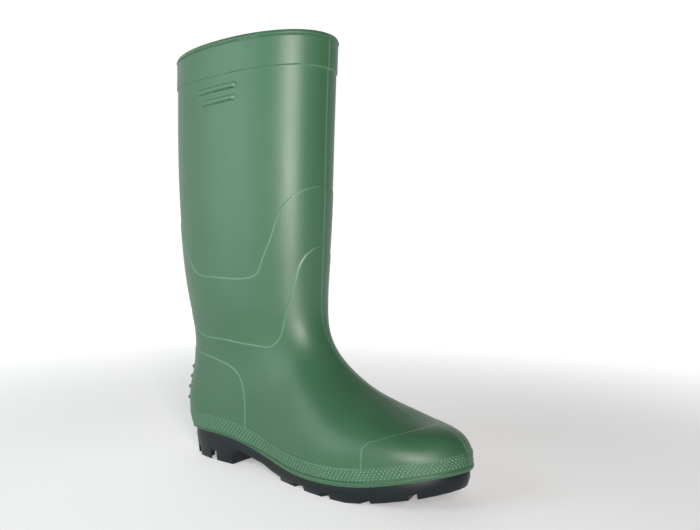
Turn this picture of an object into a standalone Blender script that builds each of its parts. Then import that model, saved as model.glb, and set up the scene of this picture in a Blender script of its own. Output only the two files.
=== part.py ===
"""Knee-high rain boot for the right foot: a moulded upper on a lugged sole, with its lining and footbed.

+X points to the toe, +Y to the inner (medial) side and +Z up. The profiles below are in millimetres on the
last's own datum, which is tipped a little; the finished boot is turned to stand on Z = 0, with the middle of
its bounding box over the origin.
"""

from math import atan2, cos, pi, radians, sin

import bmesh
import bpy
import numpy as np

MM = 0.001

# Side view, as (x, z): down the front of the boot from the sole's edge to the rim, and up its back.
FRONT = [
    (148.6, 14), (149.4, 22), (149, 31), (146.8, 40), (141.5, 48), (130, 54), (112, 57.5), (91, 65), (67, 76.5),
    (43, 90), (22, 108), (8.5, 131), (5.5, 160), (7.5, 193), (10, 230), (13.5, 303), (18, 392),
]
BACK = [
    (-139, 31), (-143.5, 45), (-145, 58), (-143.5, 72), (-139.5, 89), (-138, 106), (-138.5, 122), (-143.5, 147),
    (-150, 184), (-153.5, 232), (-155, 300), (-153, 383),
]
# Plan view of the foot, as (x, y), once round from the heel along the outer side to the toe and back.
OUTLINE = [
    (-146, 0), (-142.5, -15), (-131, -27.5), (-110, -34), (-78, -35), (-39, -37.5), (0, -47.5), (44, -56.5),
    (80, -53), (112, -42.5), (134, -28), (146, -13), (149.5, 0), (146, 13.5), (133, 29), (112, 41.5), (80, 48),
    (44, 46.5), (0, 38), (-39, 32), (-78, 33), (-110, 33.5), (-131, 28), (-142.5, 15),
]
HEEL_TIP, TOE_TIP = -146, 149.5
# The instep's ridge carried on up through the leg, as (x, z), to shape the foot's sections under the leg.
RIDGE_IN_LEG = [(2, 127), (-22, 154), (-52, 195), (-90, 260), (-160, 420)]
# Half the leg's width at a height, as (z, width).
LEG = [(50, 37), (97, 37.5), (136, 41), (194, 47), (252, 50.7), (320, 52.2), (392, 53)]
# The line where the upper meets the sole, as (x, z).
FEATHER = [
    (-141, 33.5), (-98, 33), (-68, 29.6), (-33, 21.5), (5, 14), (42, 12), (77, 13), (107, 17.5), (130, 21.5),
    (149.5, 24.5),
]
# The underside of the tread, as (x, z): straight under heel and ball, with the toe sprung clear. The datum
# lies tipped forward, so the finished boot is turned back by LEAN to stand on that first, straight part.
GROUND = [(-140, 7.6), (66, -2.3), (80, -1.4), (101, 1.8), (126, 6.2), (149, 11)]
LEAN = atan2(GROUND[0][1] - GROUND[1][1], GROUND[1][0] - GROUND[0][0])
# Roof of the gaps between the lugs, from behind the heel, over the arch, to the toe.
GAP_ROOF = [
    (-165, 17.5), (-75, 13), (-71, 20), (-33, 11.5), (-20, 7), (-12, 5), (40, 3.2), (84, 3.6), (108, 7),
    (130, 11.5), (170, 24),
]

GAP_LOW, GAP_OVERSHOOT = -6, 8  # the gaps' cutter reaches under the ground and past the sole's sides

WALL, FOXING_WALL, RELIEF = 2.8, 5.2, 0.9
GAP, LINING_GAP = 0.3, 0.7
LINING, BOARD, FOOTBED = 1.2, 2.0, 4.0
FOOTBED_PLAY = 1.0
SOLE_INSET, SOLE_DRAFT, SOLE_BAND = 1.0, 2.2, 7.0
LEG_POWER = 2.15
COLUMNS = 44

# Rows of the moulded skin from the sole's edge up: the heights of its back and front ends, how much of the
# feather line's dip the row keeps, how far the skin stands proud, and the depth of the wall's inner face.
ROWS = [
    (33.5, 24.5, 1.0, RELIEF, 5.2),
    (35.8, 26.8, 1.0, RELIEF, 5.2),
    (42.5, 32.0, 1.0, RELIEF, 4.6),
    (50.0, 39.5, 1.0, RELIEF, 3.6),
    (50.8, 41.0, 1.0, 0.0, 3.4),
    (52.0, 45.5, 0.98, 0.0, 3.0),
    (53.3, 51.0, 0.93, 0.0, WALL),
    (54.2, 54.8, 0.89, 0.0, WALL),
    (55.3, 58.2, 0.84, 0.0, WALL),
    (57.5, 64.5, 0.75, 0.0, WALL),
    (61.0, 71.0, 0.63, 0.0, WALL),
    (65.5, 79.0, 0.5, 0.0, WALL),
    (71.0, 89.0, 0.38, 0.0, WALL),
    (78.5, 104.0, 0.26, 0.0, WALL),
    (88.0, 123.0, 0.17, 0.0, WALL),
    (98.5, 144.0, 0.11, 0.0, WALL),
    (112.0, 166.0, 0.05, 0.0, WALL),
    (134.0, 190.0, 0.01, 0.0, WALL),
    (163.0, 217.0, 0.0, 0.0, WALL),
    (205.0, 256.0, 0.0, 0.0, WALL),
    (262.0, 303.0, 0.0, 0.0, WALL),
    (320.0, 345.0, 0.0, 0.0, WALL),
    (357.0, 362.6, 0.0, 0.0, WALL),
    (358.0, 363.6, 0.0, RELIEF, WALL),
    (385.5, 393.6, 0.0, RELIEF, WALL),
]
LINING_TOP = 2.0  # how far the lining stops short of the rim

# Lugs in plan, as (x, distance to the outer side). Points past the sole's edge are trimmed by it.
EDGE = 62
LUGS = {
    "toe": [(107, -EDGE), (113, -14), (123, -5), (118, 5), (122, 40), (124, EDGE), (165, EDGE), (165, -EDGE)],
    "inner_1": [(95, -EDGE), (109.5, 5), (101, 10.5), (96, -8), (64, -EDGE)],
    "inner_2": [(51, -EDGE), (72.8, -28), (48.5, -29), (29, -EDGE)],
    "inner_3": [(21, -EDGE), (39.8, -29), (17.5, -26), (-2, -EDGE)],
    "inner_4": [(-10, -EDGE), (7.8, -19.5), (-12.6, -21), (-33, -EDGE)],
    "outer_1": [(110.5, 16.5), (116, 40), (118, EDGE), (78, EDGE), (87, 45), (98, 24)],
    "outer_2": [(85.4, 26), (72, EDGE), (45, EDGE), (59, 33)],
    "outer_3": [(49.5, 33), (36, EDGE), (16, EDGE), (27, 32)],
    "outer_4": [(13.6, 30), (3, EDGE), (-17, EDGE), (-7.8, 31)],
    "arrow_1": [(80.5, -21), (93, -2), (85.4, 20.4), (63, 25), (69.8, 0), (55.3, -23)],
    "arrow_2": [(48.5, -23), (61, 1), (52.4, 26), (29, 26.5), (36, 2), (19.5, -19.5)],
    "arrow_3": [(16.5, -17), (26, 3), (18, 25), (-2, 22), (4.5, 5), (-5, -12)],
    "arrow_bar": [(-16, -18), (-7, 5), (-16, 31), (-21.5, 31), (-12.5, 5), (-22, -18)],
    "breast_outer": [(-74.5, -9), (-74.5, EDGE), (-90, EDGE), (-95, 30), (-101, 24), (-101, 17), (-91, 17), (-90, -6)],
    "breast_inner": [(-74.5, -EDGE), (-74.5, -17), (-95, -14), (-98, -EDGE)],
    "heel_hook": [(-97, -11), (-97, 3), (-107, 5), (-108, 12), (-121, 9), (-122, -6), (-112, -12)],
    "heel_outer": [(-97, EDGE), (-102, 30), (-108, 24), (-108, 20), (-120, 19), (-119, EDGE)],
    "heel_inner": [(-103, -EDGE), (-102, -20), (-118, -18), (-122, -EDGE)],
    "heel_rear": [
        (-128, EDGE), (-127, 20), (-132, 7), (-132, -6), (-126, -18), (-127, -EDGE), (-170, -EDGE), (-170, EDGE),
    ],
}
LUG_LOW, LUG_ROOF = -8, 26  # from under the ground to above the gaps' roof everywhere

# Hollow in the heel's seat, and the block that fills it.
FILLER_BACK, FILLER_FRONT, FILLER_HALF, FILLER_DEPTH = -124, -82, 17, 12
SEAT_TOP = 31.2  # the feather line's height at the front of the hollow
HOLLOW_OVERSHOOT, FILLER_DROP = 12, 1.2

GREEN = (0.043, 0.135, 0.072)
BLACK = (0.012, 0.014, 0.018)
KNIT = (0.42, 0.42, 0.38)
FIBRE = (0.30, 0.22, 0.14)
CORK = (0.36, 0.27, 0.17)
FOAM = (0.10, 0.11, 0.11)


def spline(points, count):
    """Points along the natural cubic spline through the given points, by chord length."""
    given = np.array(points, float)
    lengths = np.linalg.norm(np.diff(given, axis=0), axis=1)
    knots = np.concatenate([[0], np.cumsum(lengths)])
    size = len(given)
    system = np.eye(size)
    right = np.zeros((size, given.shape[1]))
    for i in range(1, size - 1):
        before, after = lengths[i - 1], lengths[i]
        system[i, i - 1 : i + 2] = before, 2 * (before + after), after
        right[i] = 6 * ((given[i + 1] - given[i]) / after - (given[i] - given[i - 1]) / before)
    bend = np.linalg.solve(system, right)
    along = np.linspace(0, knots[-1], count)
    i = np.clip(np.searchsorted(knots, along, side="right") - 1, 0, size - 2)
    done, span = (along - knots[i])[:, None], lengths[i][:, None]
    left = span - done
    cubic = (bend[i] * left**3 + bend[i + 1] * done**3) / (6 * span)
    start = (given[i] / span - bend[i] * span / 6) * left
    end = (given[i + 1] / span - bend[i + 1] * span / 6) * done
    return cubic + start + end


def smooth(x):
    x = np.clip(x, 0, 1)
    return x * x * (3 - 2 * x)


def read(curve, x):
    return np.interp(x, curve[:, 0], curve[:, 1])


def outline_sides():
    """The foot's half widths against x, as (outer side, inner side), from one closed smooth outline."""
    lap = 4
    curve = spline(OUTLINE[-lap:] + OUTLINE + OUTLINE[: lap + 1], 1600)
    toe = int(np.argmax(curve[:, 0]))
    before, after = curve[: toe + 1], curve[toe:][::-1]
    sides = []
    for side in (before, after):
        side = side[np.argmin(side[:, 0]) :].copy()
        side[:, 1] = np.abs(side[:, 1])
        side[0], side[-1] = (HEEL_TIP, 0), (TOE_TIP, 0)
        sides.append(side)
    return sides


FRONT_LINE, BACK_LINE = spline(FRONT, 900), spline(BACK, 900)
FEATHER_LINE, LEG_LINE, GROUND_LINE = spline(FEATHER, 400), spline(LEG, 300), np.array(GROUND, float)
OUTER_SIDE, INNER_SIDE = outline_sides()
TOE_CURVE, LEG_FOOT = 2, 11  # the instep's part of FRONT
TOP_LINE = spline(FRONT[TOE_CURVE:LEG_FOOT] + RIDGE_IN_LEG, 900)[::-1]


def front_at(z):
    return np.interp(z, FRONT_LINE[:, 1], FRONT_LINE[:, 0])


def back_at(z):
    return np.interp(z, BACK_LINE[:, 1], BACK_LINE[:, 0])


def half_width(x, z, outer):
    """Half width of the moulded skin at x and z: the foot below, the leg above, blended over the ankle."""
    widest = 36 + 12 * smooth((-x - 40) / 80) - 7 * smooth((x - 95) / 45)
    back, front = back_at(z), front_at(z)
    # The ridge and the toe's plan are stretched to end on the front line, so that both sides close there.
    ridge_x = np.interp(z, TOP_LINE[::-1, 1], TOP_LINE[::-1, 0])
    above = np.clip((z - TOP_LINE[-1, 1]) / 2, 0, 1)
    foot_x = back + (x - back) * (1 + above * ((ridge_x - back) / (front - back) - 1))
    to_toe = (TOE_TIP - front) * smooth((x - 90) / 60) * smooth((36 - z) / 4)
    plan_x = foot_x + (HEEL_TIP - back) * (1 - smooth((x - back) / 100)) + to_toe
    rise = np.clip((z - widest) / np.maximum(read(TOP_LINE, foot_x) - widest, 1), 0, 1)
    ridge = smooth((115 - x) / 60) * smooth((x + 60) / 50)
    power = 2.3 - np.where(outer, 0.4, 0.8) * ridge
    cap = (1 - rise**power) ** (1 / power)
    tuck = 1 - 0.03 * np.clip((widest - z) / 20, 0, 1) ** 2
    foot = np.where(outer, read(OUTER_SIDE, plan_x), read(INNER_SIDE, plan_x)) * cap * tuck
    across = np.clip((x - back) / (front - back), 0, 1)
    leg = read(LEG_LINE, z) * (1 - np.abs(2 * across - 1) ** LEG_POWER) ** (1 / LEG_POWER)
    high = smooth((z - 72) / 82)
    return (1 - high) * foot + high * leg


def row(back_z, front_z, dip):
    """One closed row of points on the skin, from the back round the outer side to the front and home."""
    angle = np.linspace(0, 2 * pi, COLUMNS, endpoint=False)
    part = (1 - np.cos(angle)) / 2
    back_x, front_x = back_at(back_z), front_at(front_z)
    x = back_x + (front_x - back_x) * part
    chord = read(FEATHER_LINE, back_x) * (1 - part) + read(FEATHER_LINE, front_x) * part
    z = back_z + (front_z - back_z) * part + dip * (read(FEATHER_LINE, x) - chord)
    outer = angle <= pi
    y = half_width(x, z, outer) * np.where(outer, -1, 1)
    return np.stack([x, y, z], 1)


def normals(rows):
    """Outward unit normals of a grid of rows."""
    round_it = np.roll(rows, -1, axis=1) - np.roll(rows, 1, axis=1)
    up_it = np.gradient(rows, axis=0)
    out = np.cross(round_it, up_it)
    return out / np.maximum(np.linalg.norm(out, axis=2), 1e-9)[:, :, None]


SKIN = np.array([row(*level[:3]) for level in ROWS])
OUT = normals(SKIN)


def skin(first, depths):
    """Rows of the skin from the first one up, each moved in by its depth; a negative depth stands proud."""
    depths = np.array(depths, float)[:, None, None]
    last = first + len(depths)
    return SKIN[first:last] - OUT[first:last] * depths


def floor_ring(index, depth, height, profile=FEATHER_LINE):
    """A low row of the skin moved in by a depth and laid at a height over a line, by default the feather."""
    ring = SKIN[index] - OUT[index] * depth
    ring[:, 2] = read(profile, ring[:, 0]) + height
    return ring


def material(name, colour, roughness):
    made = bpy.data.materials.new(name)
    made.use_nodes = True
    shader = made.node_tree.nodes["Principled BSDF"]
    shader.inputs["Base Color"].default_value = (*colour, 1)
    shader.inputs["Roughness"].default_value = roughness
    shader.inputs["Metallic"].default_value = 0
    made.diffuse_color = (*colour, 1)
    return made


def add_object(name, mesh, collection, finish=None):
    made = bpy.data.objects.new(name, mesh)
    collection.objects.link(made)
    if finish:
        mesh.materials.append(finish)
    return made


def bridge(bm, low, high, downwards):
    """Triangles between two rings. Each four-sided patch is split the same way whether its wall is laid
    upwards or downwards, so that nested walls keep their gap where the patches are twisted."""
    for j in range(len(low)):
        k = (j + 1) % len(low)
        if downwards:
            bm.faces.new((low[j], low[k], high[j]))
            bm.faces.new((low[k], high[k], high[j]))
        else:
            bm.faces.new((low[j], low[k], high[k]))
            bm.faces.new((low[j], high[k], high[j]))


def close_across(bm, ring):
    """Closes a ring with a strip of faces from its outer side straight across to its inner side."""
    for j in range(len(ring) // 2):
        corners = [ring[j], ring[j + 1], ring[-j - 1], ring[-j % len(ring)]]
        bm.faces.new(list(dict.fromkeys(corners)))


def finish_mesh(name, bm):
    bmesh.ops.recalc_face_normals(bm, faces=bm.faces)
    mesh = bpy.data.meshes.new(name)
    bm.to_mesh(mesh)
    bm.free()
    return mesh


def loft(name, upwards, downwards=(), open_below=False):
    """Solid through rings laid upwards and then, for a hollow one, back down its inner wall. Its ends are
    closed across, or where it is open below, its last ring joins its first."""
    bm = bmesh.new()
    grid = [[bm.verts.new(point * MM) for point in ring] for ring in [*upwards, *downwards]]
    for i, (low, high) in enumerate(zip(grid, grid[1:])):
        bridge(bm, low, high, i >= len(upwards))
    if open_below:
        bridge(bm, grid[-1], grid[0], False)
    else:
        close_across(bm, grid[0])
        close_across(bm, grid[-1])
    return finish_mesh(name, bm)


def shade(mesh, angle=40):
    mesh.shade_smooth()
    mesh.set_sharp_from_angle(angle=radians(angle))


def prism(bm, outline, low, high):
    """Adds an upright prism over a plan outline of (x, y) points."""
    face = bm.faces.new([bm.verts.new((x * MM, y * MM, low * MM)) for x, y in outline])
    risen = bmesh.ops.extrude_face_region(bm, geom=[face])["geom"]
    corners = [item for item in risen if isinstance(item, bmesh.types.BMVert)]
    bmesh.ops.translate(bm, verts=corners, vec=(0, 0, (high - low) * MM))


def cut(target, cutter):
    modifier = target.modifiers.new(cutter.name, "BOOLEAN")
    modifier.operation = "DIFFERENCE"
    modifier.object = cutter
    modifier.solver = "EXACT"


def make_upper(parts):
    """Moulded shell: foot, leg, foxing band at the sole's edge and collar at the rim."""
    outer = skin(0, [-level[3] for level in ROWS])
    inner = skin(0, [level[4] for level in ROWS])
    inner[0] = floor_ring(0, FOXING_WALL, 0)
    inner[1] = floor_ring(1, FOXING_WALL, BOARD + GAP)
    mesh = loft("upper", outer, inner[::-1], open_below=True)
    shade(mesh)
    return add_object("upper", mesh, parts, material("green_upper", GREEN, 0.38))


def make_lining(parts):
    """Knitted sock: lies on the shell's inner face and closes under the foot."""
    wall = skin(1, [level[4] for level in ROWS[1:]])
    out = normals(wall)
    outer, inner = wall - out * LINING_GAP, wall - out * (LINING_GAP + LINING)
    under = BOARD + GAP
    outer[0] = floor_ring(1, FOXING_WALL + LINING_GAP, under)
    inner[0] = floor_ring(1, FOXING_WALL + LINING_GAP + LINING, under + LINING)
    for rows in (outer, inner):
        rows[-1] -= (rows[-1] - rows[-2]) * LINING_TOP / np.linalg.norm(rows[-1] - rows[-2], axis=1)[:, None]
    mesh = loft("lining", outer, inner[::-1])
    shade(mesh)
    return add_object("lining", mesh, parts, material("knit", KNIT, 0.9))


def make_sole(parts, cutters):
    """Outsole: a block down to the ground, less the gaps between its lugs and the hollow in its seat."""
    top = floor_ring(0, SOLE_INSET, -GAP)
    middle = floor_ring(0, SOLE_INSET, -SOLE_BAND)
    bottom = floor_ring(0, SOLE_INSET + SOLE_DRAFT, 0, GROUND_LINE)
    mesh = loft("outsole", [bottom, middle, top])
    sole = add_object("outsole", mesh, parts, material("black_sole", BLACK, 0.55))

    bm = bmesh.new()
    for outline in LUGS.values():
        prism(bm, [(x, -outward) for x, outward in outline], LUG_LOW, LUG_ROOF)
    lugs = add_object("lug_prisms", finish_mesh("lug_prisms", bm), cutters)

    bm = bmesh.new()
    side = [*GAP_ROOF, (GAP_ROOF[-1][0], GAP_LOW), (GAP_ROOF[0][0], GAP_LOW)]
    width = EDGE + GAP_OVERSHOOT
    face = bm.faces.new([bm.verts.new((x * MM, -width * MM, z * MM)) for x, z in side])
    risen = bmesh.ops.extrude_face_region(bm, geom=[face])["geom"]
    far = [item for item in risen if isinstance(item, bmesh.types.BMVert)]
    bmesh.ops.translate(bm, verts=far, vec=(0, 2 * width * MM, 0))
    gaps = add_object("lug_gaps", finish_mesh("lug_gaps", bm), cutters)
    cut(gaps, lugs)
    cut(sole, gaps)

    hollow = add_object("seat_hollow", seat_block("seat_hollow", 0, HOLLOW_OVERSHOOT), cutters)
    cut(sole, hollow)
    return sole


def seat_block(name, gap, above):
    """Round-ended block in the heel's seat, smaller all round by a gap, its top a step above the feather."""
    half = FILLER_HALF - gap
    back, front = FILLER_BACK + half + gap, FILLER_FRONT - half - gap
    angles = np.linspace(-pi / 2, pi / 2, 9)
    front_end = [(front + half * cos(a), half * sin(a)) for a in angles]
    back_end = [(back - half * cos(a), -half * sin(a)) for a in angles]
    low = SEAT_TOP - FILLER_DEPTH + gap
    bm = bmesh.new()
    prism(bm, front_end + back_end, low, SEAT_TOP + above)
    return finish_mesh(name, bm)


def make_heel_filler(parts):
    mesh = seat_block("heel_filler", GAP, -FILLER_DROP)
    return add_object("heel_filler", mesh, parts, material("cork_filler", CORK, 0.85))


def make_board(parts):
    edge = FOXING_WALL + LINING_GAP
    mesh = loft("insole_board", [floor_ring(0, edge, 0), floor_ring(1, edge, BOARD)])
    return add_object("insole_board", mesh, parts, material("fibre_board", FIBRE, 0.8))


def make_insole(parts):
    """Footbed, which lifts about its toe end."""
    under = BOARD + LINING + 2 * GAP
    edge = FOXING_WALL + LINING_GAP + LINING + FOOTBED_PLAY
    low, high = floor_ring(1, edge, under), floor_ring(1, edge, under + FOOTBED)
    hinge = low[COLUMNS // 2].copy()
    hinge[1] = 0
    mesh = loft("insole", [low - hinge, high - hinge])
    shade(mesh)
    pivot = bpy.data.objects.new("insole_pivot", None)
    pivot.empty_display_size = 20 * MM
    pivot.location = hinge * MM
    parts.objects.link(pivot)
    insole = add_object("insole", mesh, parts, material("foam_footbed", FOAM, 0.8))
    insole.parent = pivot
    return pivot


def stand_on_origin(parts, root):
    """Turns the empty that the boot hangs from by its lean, then moves it so that the bounding box stands on
    the ground with its middle over the origin."""
    root.rotation_euler.y = -LEAN
    bpy.context.view_layer.update()
    graph = bpy.context.evaluated_depsgraph_get()
    corners = []
    for made in parts.objects:
        if made.type == "MESH":
            solid = made.evaluated_get(graph)
            corners += [solid.matrix_world @ vertex.co for vertex in solid.data.vertices]
    corners = np.array(corners)
    low, high = corners.min(axis=0), corners.max(axis=0)
    root.location = (-(low[0] + high[0]) / 2, -(low[1] + high[1]) / 2, -low[2])


def main():
    for old in list(bpy.data.objects):
        bpy.data.objects.remove(old)
    parts = bpy.data.collections.new("rain_boot")
    cutters = bpy.data.collections.new("cutters")
    for collection in (parts, cutters):
        bpy.context.scene.collection.children.link(collection)

    pieces = [
        make_upper(parts),
        make_lining(parts),
        make_sole(parts, cutters),
        make_heel_filler(parts),
        make_board(parts),
        make_insole(parts),
    ]
    root = bpy.data.objects.new("boot_origin", None)
    parts.objects.link(root)
    for piece in [*pieces, *cutters.objects]:
        piece.parent = root
    for cutter in cutters.objects:
        cutter.hide_render = True
        cutter.display_type = "WIRE"
    stand_on_origin(parts, root)


main()
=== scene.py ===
"""Looks for a knee-high moulded rain boot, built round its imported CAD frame.

Shapes are worked out in millimetres on the last's own datum, the one the CAD part uses, and turned and moved
to the frame's place as each piece is finished. +X points to the toe, +Y to the inner side and +Z up.
"""

from math import cos, pi, radians, sin

import bmesh
import bpy
import numpy as np
from mathutils import Matrix, Vector
from mathutils.kdtree import KDTree


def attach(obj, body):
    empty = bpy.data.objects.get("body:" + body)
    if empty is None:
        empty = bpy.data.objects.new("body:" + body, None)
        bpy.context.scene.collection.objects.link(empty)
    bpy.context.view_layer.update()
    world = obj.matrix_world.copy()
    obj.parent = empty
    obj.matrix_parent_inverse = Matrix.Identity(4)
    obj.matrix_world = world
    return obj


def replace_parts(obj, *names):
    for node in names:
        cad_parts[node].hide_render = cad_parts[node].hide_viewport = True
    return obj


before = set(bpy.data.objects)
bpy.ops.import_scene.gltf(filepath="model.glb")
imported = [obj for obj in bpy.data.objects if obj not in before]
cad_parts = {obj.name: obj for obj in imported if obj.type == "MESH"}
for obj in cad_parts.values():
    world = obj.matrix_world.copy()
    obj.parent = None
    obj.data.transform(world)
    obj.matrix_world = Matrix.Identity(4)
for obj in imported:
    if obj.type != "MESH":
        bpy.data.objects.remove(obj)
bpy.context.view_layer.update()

MM = 0.001
# The last's datum lies tipped forward: it is turned back by LEAN, and its origin then stands at DATUM.
LEAN, DATUM = radians(2.7514), (11.617, 1.569, -0.871)

# Side view, as (x, z): down the front of the boot from the sole's edge to the rim, and up its back.
FRONT = [
    (148.6, 14), (149.4, 22), (149, 31), (146.8, 40), (141.5, 48), (130, 54), (112, 57.5), (91, 65),
    (67, 76.5), (43, 90), (22, 108), (8.5, 131), (5.5, 160), (7.5, 193), (10, 230), (13.5, 303), (18, 392),
]
BACK = [
    (-139, 31), (-143.5, 45), (-145, 58), (-143.5, 72), (-139.5, 89), (-138, 106), (-138.5, 122),
    (-143.5, 147), (-150, 184), (-153.5, 232), (-155, 300), (-153, 383),
]
# Plan view of the foot, as (x, y), once round from the heel along the outer side to the toe and back.
OUTLINE = [
    (-146, 0), (-142.5, -15), (-131, -27.5), (-110, -34), (-78, -35), (-39, -37.5), (0, -47.5), (44, -56.5),
    (80, -53), (112, -42.5), (134, -28), (146, -13), (149.5, 0), (146, 13.5), (133, 29), (112, 41.5),
    (80, 48), (44, 46.5), (0, 38), (-39, 32), (-78, 33), (-110, 33.5), (-131, 28), (-142.5, 15),
]
HEEL_TIP, TOE_TIP = -146, 149.5
# The instep's ridge carried on up through the leg, as (x, z), to shape the foot's sections under the leg.
RIDGE_IN_LEG = [(2, 127), (-22, 154), (-52, 195), (-90, 260), (-160, 420)]
# Half the leg's width at a height, as (z, width).
LEG = [(50, 37), (97, 37.5), (136, 41), (194, 47), (252, 50.7), (320, 52.2), (392, 53)]
LEG_POWER = 2.15
# The line where the upper meets the sole, as (x, z).
FEATHER = [
    (-141, 33.5), (-98, 33), (-68, 29.6), (-33, 21.5), (5, 14), (42, 12), (77, 13), (107, 17.5), (130, 21.5),
    (149.5, 24.5),
]
# Levels of the moulded skin from the sole's edge up to the rim: the heights of a level's back and front
# ends, how much of the feather line's dip it keeps, and the depth of the wall's inner face.
LEVELS = [
    (33.5, 24.5, 1.0, 5.2), (42.5, 32, 1.0, 4.6), (50, 39.5, 1.0, 3.6), (52, 45.5, 0.98, 3.0),
    (53.3, 51, 0.93, 2.8), (55.3, 58.2, 0.84, 2.8), (57.5, 64.5, 0.75, 2.8), (61, 71, 0.63, 2.8),
    (65.5, 79, 0.5, 2.8), (71, 89, 0.38, 2.8), (78.5, 104, 0.26, 2.8), (88, 123, 0.17, 2.8),
    (98.5, 144, 0.11, 2.8), (112, 166, 0.05, 2.8), (134, 190, 0.01, 2.8), (163, 217, 0, 2.8),
    (205, 256, 0, 2.8), (262, 303, 0, 2.8), (320, 345, 0, 2.8), (385.5, 393.6, 0, 2.8),
]
FOXING_TOP = 2  # the level of the foxing band's upper edge
SKIN_WALL = 2.8

# Edges of the raised layers, as (x, z) in side view; each layer lies below or in front of its line.
LAYER_RISE = 0.5
UPPER_ANKLE = [
    (-152, 240), (-142, 228), (-126, 209), (-115, 191), (-109, 184), (-103, 181), (-86, 179), (-62, 177.5),
    (-44, 178), (-34, 182), (-30, 190), (-22, 208), (-16, 224.5), (-10, 239), (1, 252), (11.5, 258.8),
]
LOWER_ANKLE = [
    (-146, 157), (-118.6, 128.7), (-102, 122.7), (-82, 121.5), (-57, 118.8), (-40, 117.2), (-24.4, 117.6),
    (-17.5, 124.3), (-14.5, 134.5), (-10.4, 151.5), (-5.3, 170.6), (-1.2, 187.4), (3.5, 198.5), (8.4, 205.8),
]
HEEL_COUNTER = [
    (-138.2, 110), (-119, 107.6), (-93, 102.7), (-72, 96.5), (-62.7, 90.2), (-56.3, 78), (-53.8, 60.9),
    (-53.7, 40),
]
TOE_CAP = [(81.4, 26), (81.8, 43.8), (85.5, 48.4), (94.4, 50.9), (102.5, 53.4), (110.4, 54.9), (119, 56.4)]
# Pull grips below the collar, as the two ends of each rib in side view.
GRIPS = [((-92, 345.2), (-48.5, 348)), ((-86, 335), (-50.5, 337.3))]
GRIP_RADIUS, GRIP_RISE = 2.3, 2.3
SPURS = [60, 70.5, 80.5, 90]  # heights of the kick-off ribs up the back of the heel
SPUR_REACH, SPUR_RADIUS, SPUR_RISE = 9, 1.5, 1.7
# The collar's lower edge, as (x, z), then its height and the bead along its top.
COLLAR = np.array([(-75, 357.8), (6, 363)])
COLLAR_RISE = 0.9
BEAD_DEPTH, BEAD_RISE, GROOVE_DEPTH = 3.5, 1.5, 0.9
FLASH_RISE, FLASH_HALF = 0.35, 0.45

# Foxing band: a strip at the sole's edge, a groove, then ribs that turn into a knurl under the toes.
BAND_RISE, STRIP_RISE, GROOVE_RISE = 1.55, 2.0, 0.7
RIB_PITCH, RIB_SLANT, RIB_RISE = 3.8, 1.0, 0.75
KNURL_PITCH, KNURL_SLANT = 3.4, 0.85
STRIP_HEEL, STRIP_TOE, GROOVE_TALL, LIP, LIP_TURN = 1.3, 3.5, 0.7, 0.9, 0.4  # heights up the band
STRIP_BULGE, STRIP_RAGGED = 0.35, 0.22
SKIN_COLUMNS, SKIN_ROWS = 240, 200
BAND_COLUMNS, BAND_ROWS = 1400, 40


def spline(points, count):
    """Points along the natural cubic spline through the given points, by chord length."""
    given = np.array(points, float)
    lengths = np.linalg.norm(np.diff(given, axis=0), axis=1)
    knots = np.concatenate([[0], np.cumsum(lengths)])
    size = len(given)
    system = np.eye(size)
    right = np.zeros((size, given.shape[1]))
    for i in range(1, size - 1):
        before, after = lengths[i - 1], lengths[i]
        system[i, i - 1 : i + 2] = before, 2 * (before + after), after
        right[i] = 6 * ((given[i + 1] - given[i]) / after - (given[i] - given[i - 1]) / before)
    bend = np.linalg.solve(system, right)
    along = np.linspace(0, knots[-1], count)
    i = np.clip(np.searchsorted(knots, along, side="right") - 1, 0, size - 2)
    done, span = (along - knots[i])[:, None], lengths[i][:, None]
    left = span - done
    cubic = (bend[i] * left**3 + bend[i + 1] * done**3) / (6 * span)
    start = (given[i] / span - bend[i] * span / 6) * left
    end = (given[i + 1] / span - bend[i + 1] * span / 6) * done
    return cubic + start + end


def smooth(x):
    x = np.clip(x, 0, 1)
    return x * x * (3 - 2 * x)


def read(curve, x):
    return np.interp(x, curve[:, 0], curve[:, 1])


def outline_sides():
    """The foot's half widths against x, as (outer side, inner side), from one closed smooth outline."""
    lap = 4
    curve = spline(OUTLINE[-lap:] + OUTLINE + OUTLINE[: lap + 1], 1600)
    toe = int(np.argmax(curve[:, 0]))
    sides = []
    for side in (curve[: toe + 1], curve[toe:][::-1]):
        side = side[np.argmin(side[:, 0]) :].copy()
        side[:, 1] = np.abs(side[:, 1])
        side[0], side[-1] = (HEEL_TIP, 0), (TOE_TIP, 0)
        sides.append(side)
    return sides


FRONT_LINE, BACK_LINE = spline(FRONT, 900), spline(BACK, 900)
FEATHER_LINE, LEG_LINE = spline(FEATHER, 400), spline(LEG, 300)
OUTER_SIDE, INNER_SIDE = outline_sides()
TOE_CURVE, LEG_FOOT = 2, 11  # the instep's part of FRONT
TOP_LINE = spline(FRONT[TOE_CURVE:LEG_FOOT] + RIDGE_IN_LEG, 900)[::-1]
LEVEL_LINE = spline([level[:3] for level in LEVELS], 900)
_steps = np.linalg.norm(np.diff([level[:3] for level in LEVELS], axis=0), axis=1)
LEVEL_AT = np.concatenate([[0], np.cumsum(_steps)]) / _steps.sum()


def front_at(z):
    return np.interp(z, FRONT_LINE[:, 1], FRONT_LINE[:, 0])


def back_at(z):
    return np.interp(z, BACK_LINE[:, 1], BACK_LINE[:, 0])


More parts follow.
